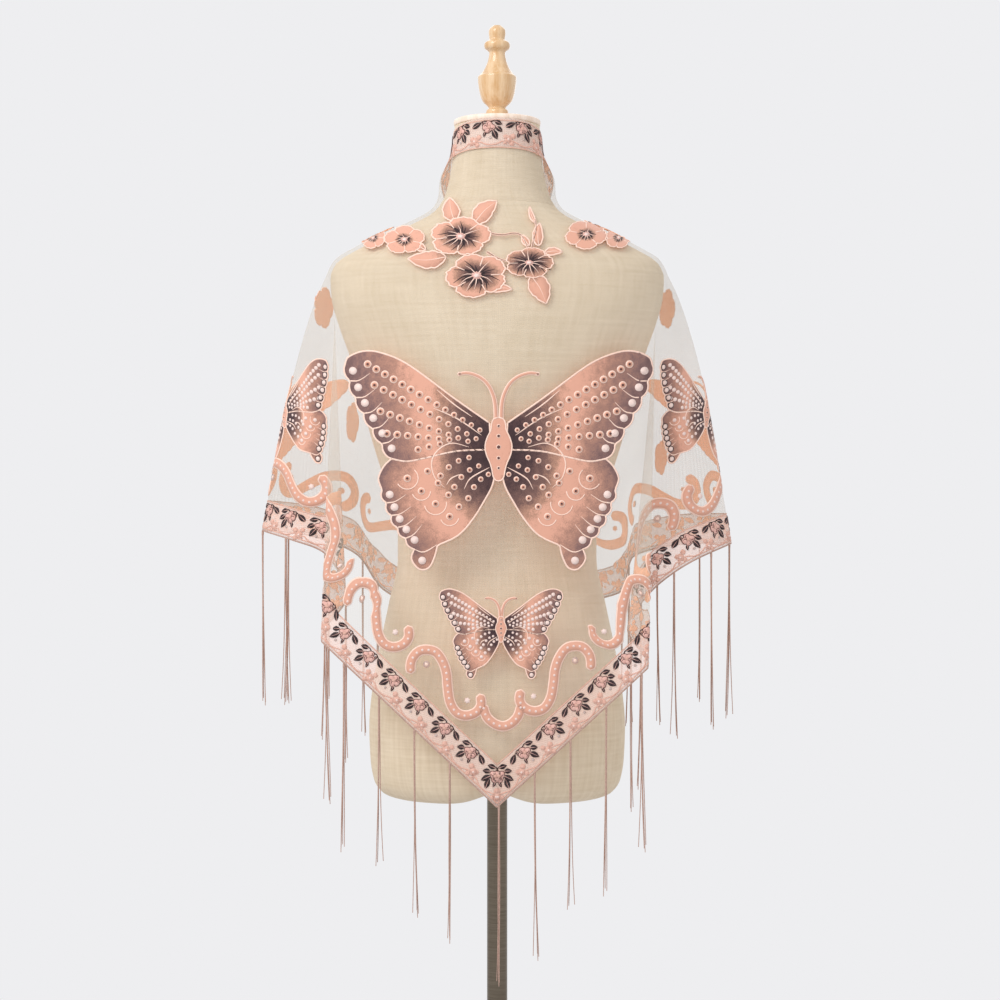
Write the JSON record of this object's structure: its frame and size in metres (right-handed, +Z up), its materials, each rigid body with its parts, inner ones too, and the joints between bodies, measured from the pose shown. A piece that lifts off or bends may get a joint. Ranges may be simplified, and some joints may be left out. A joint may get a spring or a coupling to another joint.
{
  "type": "triangle shawl on a limbless dress form",
  "caption": "Fringed triangle net shawl with a printed border, worn on a limbless dress form with a turned finial, a metal pole and a round foot.",
  "frame": {"origin": "centre of the round foot's underside, on the floor", "axes": "+Z up along the pole; the shawl's back and its point face -Y; +X is the wearer's right"},
  "size_m": [0.5814, 0.33, 1.6431],
  "materials": {
    "net": "sheer net",
    "printed_band": "flocked print on sheer net",
    "tassel_yarn": "soft yarn",
    "linen": "plain linen cover",
    "beech": "clear satin lacquer",
    "steel": "satin"
  },
  "bodies": {
    "root": {"net_panel": "net", "top_band": "printed_band", "hem_band_left": "printed_band", "hem_band_right": "printed_band", "fringe_left": "tassel_yarn", "fringe_right": "tassel_yarn", "form_torso": "linen", "neck_cap": "beech", "finial": "beech", "stand_pole": "steel", "stand_base": "steel"}
  },
  "joints": []
}
